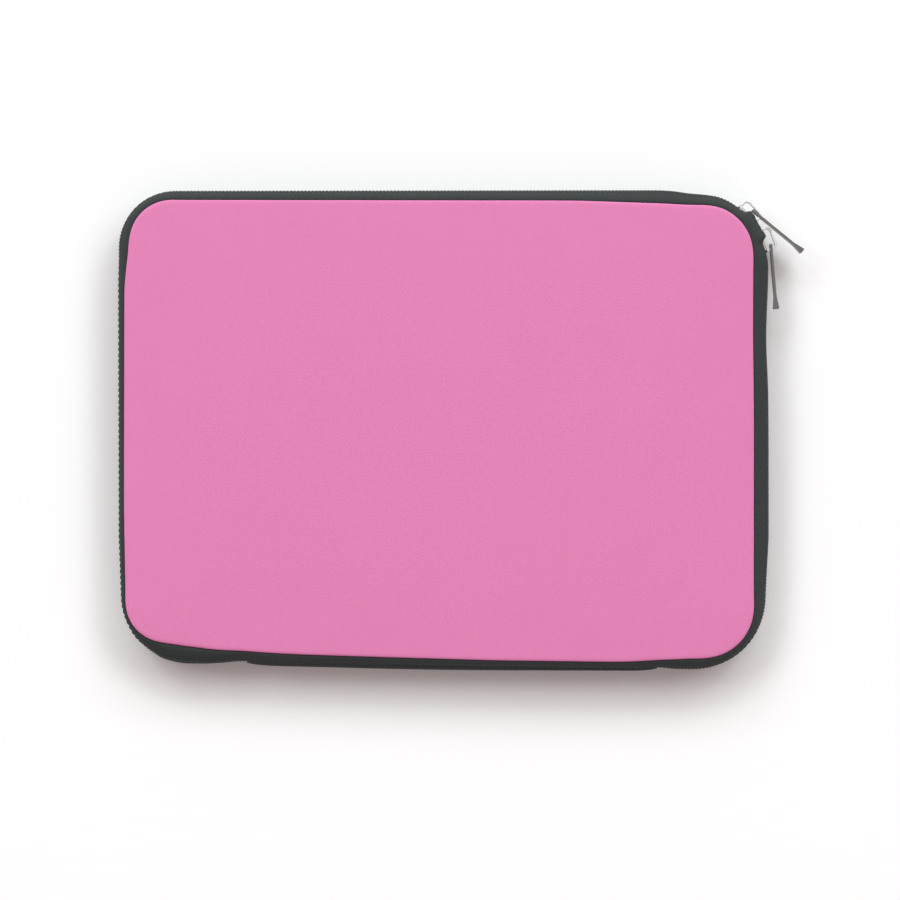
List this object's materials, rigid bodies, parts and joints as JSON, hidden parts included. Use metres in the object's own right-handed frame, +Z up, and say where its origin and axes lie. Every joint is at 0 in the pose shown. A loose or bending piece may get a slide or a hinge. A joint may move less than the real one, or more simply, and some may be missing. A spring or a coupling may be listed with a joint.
{
  "type": "laptop sleeve",
  "caption": "Flat padded laptop sleeve with a pink face, charcoal edge strips and a wrap-round zip; the front opens like a book on a fabric spine.",
  "frame": {"origin": "middle of the back panel's flat outer face, where the sleeve lies on a table", "axes": "+X to the right along the long side, +Y to the top edge, +Z up out of the front face"},
  "size_m": [0.3644, 0.255, 0.026],
  "materials": {
    "face_fabric": "smooth matt pink knit over foam",
    "edge_fabric": "matt charcoal knit",
    "foam": "grey open foam",
    "lining": "short soft pile",
    "binding": "ribbed binding tape",
    "zip_tape": "twill zip tape",
    "zip_teeth": "satin nylon coil",
    "slider_metal": "worn bright nickel plate"
  },
  "bodies": {
    "back": {"back_panel": "edge_fabric", "back_padding": "foam", "back_edge_foam": "foam", "back_lining": "lining", "back_gusset": "edge_fabric", "back_inner_binding": "binding", "back_zip_tape": "zip_tape", "back_zip_teeth": "zip_teeth", "spine": "edge_fabric", "spine_lining": "lining"},
    "front_cover": {"front_panel": "face_fabric", "front_padding": "foam", "front_edge_foam": "foam", "front_lining": "lining", "front_gusset": "edge_fabric", "front_inner_binding": "binding", "front_zip_tape": "zip_tape", "front_zip_teeth": "zip_teeth"},
    "slider_a": {"slider_a_body": "slider_metal", "slider_a_bridge": "slider_metal"},
    "pull_a": {"slider_a_pull": "slider_metal"},
    "slider_b": {"slider_b_body": "slider_metal", "slider_b_bridge": "slider_metal"},
    "pull_b": {"slider_b_pull": "slider_metal"}
  },
  "joints": [
    {"name": "cover_open", "type": "hinge", "parent": "back", "child": "front_cover", "pos_m": [0, -0.1278, 0.013], "axis": [1, 0, 0], "range_deg": [0, 180], "deforming": ["spine", "spine_lining"]},
    {"name": "slider_a_run", "type": "hinge", "parent": "back", "child": "slider_a", "pos_m": [0.1305, 0.0855, 0.013], "axis": [0, 0, 1], "range_deg": [-0.5, 45]},
    {"name": "pull_a_swing", "type": "hinge", "parent": "slider_a", "child": "pull_a", "pos_m": [0.16492, 0.11677, 0.013], "axis": [0, 0, 1], "range_deg": [-1, 105]},
    {"name": "slider_b_run", "type": "hinge", "parent": "back", "child": "slider_b", "pos_m": [0.1305, 0.0855, 0.013], "axis": [0, 0, 1], "range_deg": [-6, 0.5]},
    {"name": "pull_b_swing", "type": "hinge", "parent": "slider_b", "child": "pull_b", "pos_m": [0.17441, 0.0985, 0.013], "axis": [0, 0, 1], "range_deg": [-1, 50]}
  ]
}
